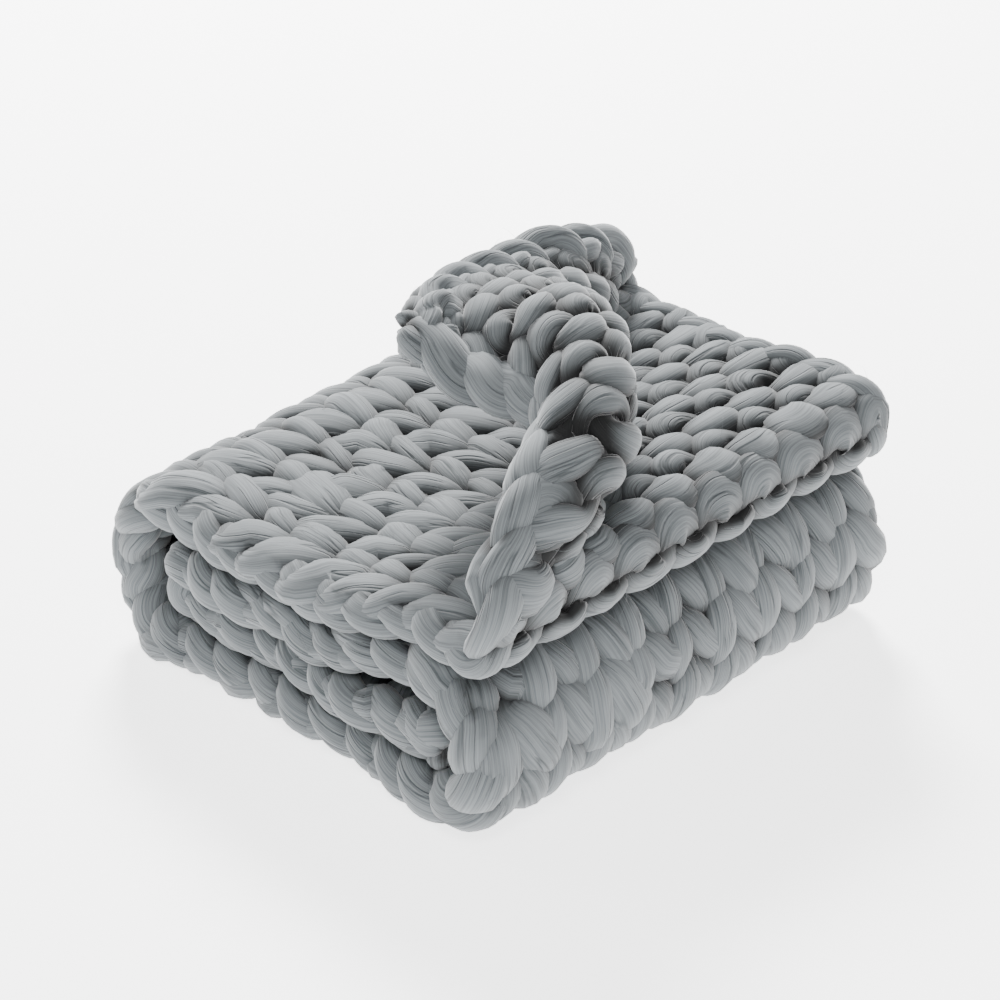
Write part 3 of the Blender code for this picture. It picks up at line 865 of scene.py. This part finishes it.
def roving_material():
    """Unspun wool-like roving, carded and drawn: long parallel fibres with soft furrows and a faint halo,
    with painted shade in the furrows and down between the stitches.
    """
    name = "carded wool roving"
    if name in bpy.data.materials:
        return bpy.data.materials[name]
    material = bpy.data.materials.new(name)
    material.use_nodes = True
    tree = material.node_tree
    shader = tree.nodes["Principled BSDF"]
    fibre = add_node(tree, "ShaderNodeAttribute", {"attribute_name": "fibre"})
    locks_at = add_node(tree, "ShaderNodeMapping", {}, {"Scale": pattern_scale(LOCK_MM)},
                        {"Vector": fibre.outputs["Vector"]})
    locks = add_node(tree, "ShaderNodeTexNoise", {}, {"Scale": 1.0, "Detail": 1.0, "Roughness": 0.4},
                     {"Vector": locks_at.outputs["Vector"]})
    off_middle = add_node(tree, "ShaderNodeMath", {"operation": "SUBTRACT"}, {1: 0.5},
                          {0: locks.outputs["Fac"]})
    apart = add_node(tree, "ShaderNodeMath", {"operation": "ABSOLUTE"}, {}, {0: off_middle.outputs["Value"]})
    furrow = add_node(tree, "ShaderNodeMapRange", {"interpolation_type": "SMOOTHSTEP"},
                      {"From Min": 0.0, "From Max": 0.045, "To Min": 0.0, "To Max": 1.0},
                      {"Value": apart.outputs["Value"]})
    patch_at = add_node(tree, "ShaderNodeMapping", {}, {"Scale": pattern_scale(PATCH_MM)},
                        {"Vector": fibre.outputs["Vector"]})
    patch = add_node(tree, "ShaderNodeTexNoise", {}, {"Scale": 1.0, "Detail": 1.0},
                     {"Vector": patch_at.outputs["Vector"]})
    closed = add_node(tree, "ShaderNodeMapRange", {"interpolation_type": "SMOOTHSTEP"},
                      {"From Min": 0.42, "From Max": 0.58, "To Min": 0.0, "To Max": 1.0},
                      {"Value": patch.outputs["Fac"]})
    soft = add_node(tree, "ShaderNodeMath", {"operation": "MAXIMUM"}, {},
                    {0: furrow.outputs["Result"], 1: closed.outputs["Result"]})
    hairs_at = add_node(tree, "ShaderNodeMapping", {}, {"Scale": pattern_scale(HAIR_MM)},
                        {"Vector": fibre.outputs["Vector"]})
    hairs = add_node(tree, "ShaderNodeTexNoise", {}, {"Scale": 1.0, "Detail": 2.0, "Roughness": 0.6},
                     {"Vector": hairs_at.outputs["Vector"]})
    lock_bump = add_node(tree, "ShaderNodeBump", {}, {"Strength": 0.60, "Distance": 0.0014},
                         {"Height": soft.outputs["Value"]})
    hair_bump = add_node(tree, "ShaderNodeBump", {}, {"Strength": 0.32, "Distance": 0.0006},
                         {"Height": hairs.outputs["Fac"], "Normal": lock_bump.outputs["Normal"]})
    tree.links.new(hair_bump.outputs["Normal"], shader.inputs["Normal"])
    # Painted shade: the tone drops in the furrows between locks, where shade falls; the hair noise varies the
    # fibres' own tone at random
    shade = add_node(tree, "ShaderNodeMath", {"operation": "MULTIPLY"}, {},
                     {0: soft.outputs["Value"], 1: hairs.outputs["Fac"]})
    tone = add_node(tree, "ShaderNodeMix", {"data_type": "FLOAT"}, {"Factor": 0.45},
                    {"A": hairs.outputs["Fac"], "B": shade.outputs["Value"]})
    colour = add_node(tree, "ShaderNodeValToRGB", {}, {}, {"Fac": tone.outputs["Result"]})
    sizes = bpy.context.scene.knit_throw
    tones = ((0.20, sizes.roving_shade), (0.62, sizes.roving_light))
    for stop, (position, shown) in zip(colour.color_ramp.elements, tones):
        stop.position = position
        stop.color = shown
    # Painted shade and light: the roving's colour is darkened down between the stitches, where shade falls,
    # and lightened on the yarn's open faces
    shade_openness = add_node(tree, "ShaderNodeAttribute", {"attribute_name": "shade_openness"})
    lit = add_node(tree, "ShaderNodeMapRange", {"interpolation_type": "SMOOTHSTEP"},
                   {"From Min": 0.48, "From Max": MOST_OPEN, "To Min": 0.05, "To Max": 1.44},
                   {"Value": shade_openness.outputs["Fac"]})
    depth = add_node(tree, "ShaderNodeVectorMath", {"operation": "SCALE"}, {},
                     {0: colour.outputs["Color"], "Scale": lit.outputs["Result"]})
    tree.links.new(depth.outputs["Vector"], shader.inputs["Base Color"])
    surface = {"Roughness": 0.75, "Specular IOR Level": 0.25, "Sheen Weight": 0.30, "Sheen Roughness": 0.45}
    for socket, value in surface.items():
        shader.inputs[socket].default_value = value
    return material


# Light that comes through the paper from below, as on a lit table
FLOOR_GLOW = 2.8


def floor_material():
    """Matt paper sweep, lit from below: smooth, even and white."""
    material = bpy.data.materials.new("matt paper sweep")
    material.use_nodes = True
    shader = material.node_tree.nodes["Principled BSDF"]
    white = bpy.context.scene.knit_throw.floor_white
    shader.inputs["Base Color"].default_value = white
    shader.inputs["Roughness"].default_value = 0.9
    shader.inputs["Emission Color"].default_value = white
    shader.inputs["Emission Strength"].default_value = FLOOR_GLOW
    return material


# Studio lights: name, place, width, power in watts; all aim at one point in the bundle
LIGHTS = (
    ("window_back_left", (-1.8, 1.5, 1.9), 0.9, 340.0),
    ("softbox_left", (-2.0, -1.2, 1.8), 1.4, 18.0),
    ("softbox_front", (1.3, -1.5, 2.5), 1.2, 60.0),
)
LIGHT_AIM = (0.0, 0.0, 0.1)
SKY_TINT = (0.99, 1.0, 1.0, 1.0)
SKY_STRENGTH = 0.50
FLOOR_REACH = 6.0
# Camera: distance and height of its aim in metres, angles in degrees
EYE_DISTANCE = 2.6
EYE_AZIMUTH = 45.0
EYE_ELEVATION = 32.5
AIM_HEIGHT = 0.1
LENS_MM = 126.6
SENSOR_MM = 36.0
SHIFT = (0.002, 0.0075)


def aimed(source, place, aim):
    """Place an object and turn its -Z axis to a point."""
    source.location = place
    source.rotation_euler = (Vector(aim) - Vector(place)).to_track_quat("-Z", "Y").to_euler()
    bpy.context.scene.collection.objects.link(source)


def build_stage():
    """Make the floor, the lights, the even surrounding light and the camera."""
    mesh = bpy.data.meshes.new("paper_floor")
    corners = [(x * FLOOR_REACH, y * FLOOR_REACH, 0.0) for x, y in ((-1, -1), (1, -1), (1, 1), (-1, 1))]
    mesh.from_pydata(corners, [], [(0, 1, 2, 3)])
    floor = bpy.data.objects.new("paper_floor", mesh)
    mesh.materials.append(floor_material())
    bpy.context.scene.collection.objects.link(floor)
    for name, place, width, power in LIGHTS:
        lamp = bpy.data.lights.new(name, "AREA")
        lamp.shape = "SQUARE"
        lamp.size = width
        lamp.energy = power
        aimed(bpy.data.objects.new(name, lamp), place, LIGHT_AIM)
    world = bpy.data.worlds.new("even studio light")
    world.use_nodes = True
    bpy.context.scene.world = world
    sky = world.node_tree.nodes["Background"]
    sky.inputs["Color"].default_value = SKY_TINT
    sky.inputs["Strength"].default_value = SKY_STRENGTH
    azimuth, elevation = math.radians(EYE_AZIMUTH), math.radians(EYE_ELEVATION)
    aim = Vector(PATH_ORIGIN) + Vector((0.0, 0.0, AIM_HEIGHT))
    back = Vector((math.sin(azimuth) * math.cos(elevation), -math.cos(azimuth) * math.cos(elevation),
                   math.sin(elevation)))
    lens = bpy.data.cameras.new("studio_camera")
    lens.sensor_width = SENSOR_MM
    lens.lens = LENS_MM
    lens.shift_x, lens.shift_y = SHIFT
    camera = bpy.data.objects.new("studio_camera", lens)
    aimed(camera, aim + back * EYE_DISTANCE, aim)
    bpy.context.scene.camera = camera


def linear(hex_colour):
    """Return the linear colour of an sRGB hex value."""
    parts = [int(hex_colour[i:i + 2], 16) / 255 for i in (1, 3, 5)]
    return tuple(c / 12.92 if c <= 0.04045 else ((c + 0.055) / 1.055) ** 2.4 for c in parts) + (1.0,)


class KnitThrowSettings(PropertyGroup):
    """Sizes and colours of the throw that a user may change."""

    seed: IntProperty(name="Seed", description="Picks one set of uneven stitches", default=5, min=0)
    unevenness: FloatProperty(name="Unevenness", description="How much the stitches differ, as a share",
                              default=0.13, min=0.0, max=0.3, subtype="FACTOR")
    fullness: FloatProperty(name="Fullness", description="Thickness of the yarn against its usual size",
                            default=1.0, min=0.7, max=1.3, subtype="FACTOR")
    # The two roving colours span painted shade in the furrows and the fibres' own tone, which varies at
    # random
    roving_shade: FloatVectorProperty(name="Roving in shade", description="Colour between the fibres",
                                      default=linear("#34383A"), size=4, min=0.0, max=1.0, subtype="COLOR")
    roving_light: FloatVectorProperty(name="Roving in light", description="Colour of the fibres on top",
                                      default=linear("#5E6264"), size=4, min=0.0, max=1.0, subtype="COLOR")
    floor_white: FloatVectorProperty(name="Floor", description="Colour of the paper sweep",
                                     default=linear("#FAFAFA"), size=4, min=0.0, max=1.0, subtype="COLOR")


class THROW_OT_rows(Operator):
    """Knit the rows of the cloth on its fold path, one piece for each stretch of it"""

    bl_idname = "throw.rows"
    bl_label = "Knit the rows"

    def execute(self, context):
        for group in ROW_GROUPS:
            knit_rows(group)
        return {"FINISHED"}


class THROW_OT_selvedges(Operator):
    """Twist the ropes along the two selvedges"""

    bl_idname = "throw.selvedges"
    bl_label = "Twist the selvedges"

    def execute(self, context):
        for name, side in SELVEDGES:
            twist_selvedge(name, side)
        return {"FINISHED"}


class THROW_OT_chains(Operator):
    """Lay the edge chains on the two ends of the cloth"""

    bl_idname = "throw.chains"
    bl_label = "Chain the ends"

    def execute(self, context):
        for name, middle, facing in CHAINS:
            knit_chain(name, middle, facing)
        return {"FINISHED"}


class THROW_OT_stage(Operator):
    """Set the floor, the soft lights and the camera"""

    bl_idname = "throw.stage"
    bl_label = "Set the stage"

    def execute(self, context):
        build_stage()
        return {"FINISHED"}


class THROW_PT_panel(Panel):
    """Sizes of the throw and the steps that make it"""

    bl_label = "Knit throw"
    bl_idname = "THROW_PT_panel"
    bl_space_type = "VIEW_3D"
    bl_region_type = "UI"
    bl_category = "Knit throw"

    def draw(self, context):
        sizes = context.scene.knit_throw
        for key in ("seed", "unevenness", "fullness", "roving_shade", "roving_light", "floor_white"):
            self.layout.prop(sizes, key)
        for step in STEPS:
            self.layout.operator(step.bl_idname)


STEPS = (THROW_OT_rows, THROW_OT_selvedges, THROW_OT_chains, THROW_OT_stage)
CLASSES = (KnitThrowSettings,) + STEPS + (THROW_PT_panel,)


def register():
    """Register the classes and give the scene its settings."""
    for each in CLASSES:
        bpy.utils.register_class(each)
    bpy.types.Scene.knit_throw = PointerProperty(type=KnitThrowSettings)


def unregister():
    """Take the settings and the classes away again."""
    del bpy.types.Scene.knit_throw
    for each in reversed(CLASSES):
        bpy.utils.unregister_class(each)


def main():
    """Register the add-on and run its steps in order."""
    register()
    bpy.ops.throw.rows()
    bpy.ops.throw.selvedges()
    bpy.ops.throw.chains()
    bpy.ops.throw.stage()
    bpy.context.view_layer.update()


if __name__ == "__main__":
    main()
